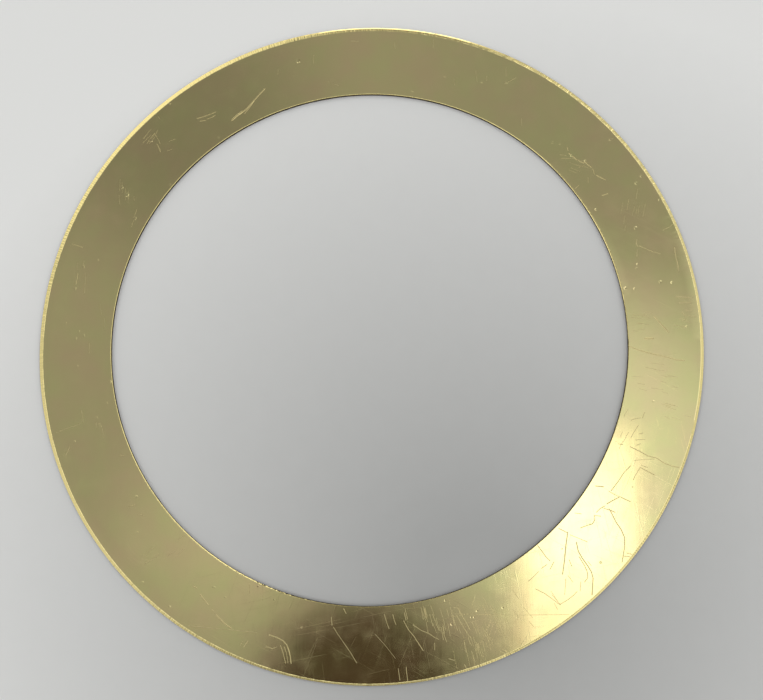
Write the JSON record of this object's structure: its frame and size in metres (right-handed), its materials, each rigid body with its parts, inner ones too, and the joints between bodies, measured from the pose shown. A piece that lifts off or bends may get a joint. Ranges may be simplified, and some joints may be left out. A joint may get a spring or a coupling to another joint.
{
  "type": "flat washer",
  "caption": "Thin flat brass ring washer with a large plain bore, a narrow face and a filed bevel round its outer edge.",
  "frame": {"origin": "on the ring's axis, level with the underside that it rests on", "axes": "+Z along the ring's axis, away from the underside and towards the bevelled upper face; X and Y are any two directions across it"},
  "size_m": [0.09, 0.09, 0.0005],
  "materials": {
    "brass_sheet": "satin"
  },
  "bodies": {
    "root": {"washer_ring": "brass_sheet"}
  },
  "joints": []
}
